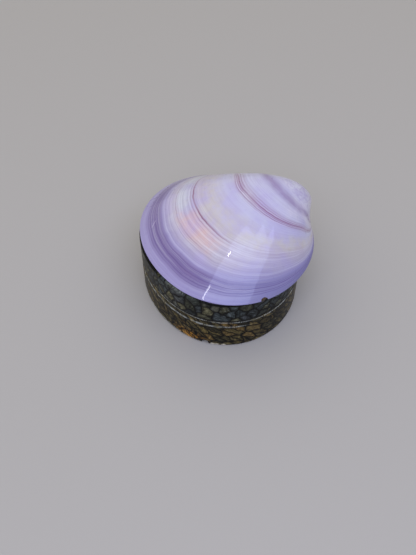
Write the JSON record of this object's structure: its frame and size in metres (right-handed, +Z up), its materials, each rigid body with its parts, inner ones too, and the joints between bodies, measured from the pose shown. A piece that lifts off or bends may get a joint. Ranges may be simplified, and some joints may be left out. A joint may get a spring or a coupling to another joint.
{
  "type": "shell trinket box",
  "caption": "Low oval trinket box clad in crackled shell mosaic under clear lacquer, with a polished purple clam valve as its lift-off lid.",
  "frame": {"origin": "middle of the footprint, on the surface the box stands on", "axes": "+Z up, +Y towards the beak of the valve, +X to the right seen from the valve's rounded front"},
  "size_m": [0.0825, 0.0824, 0.0545],
  "materials": {
    "clam_shell": "polished purple clam shell, high gloss",
    "cool_mosaic": "grey and olive crackled shell in black resin under clear gloss lacquer",
    "warm_mosaic": "olive and amber crackled shell in black resin under clear gloss lacquer",
    "black_lacquer": "wood under satin black lacquer"
  },
  "bodies": {
    "root": {"base_body": "black_lacquer", "base_mosaic": "warm_mosaic", "lid_ring": "black_lacquer", "lid_mosaic": "cool_mosaic", "clam_shell": "clam_shell"}
  },
  "joints": []
}
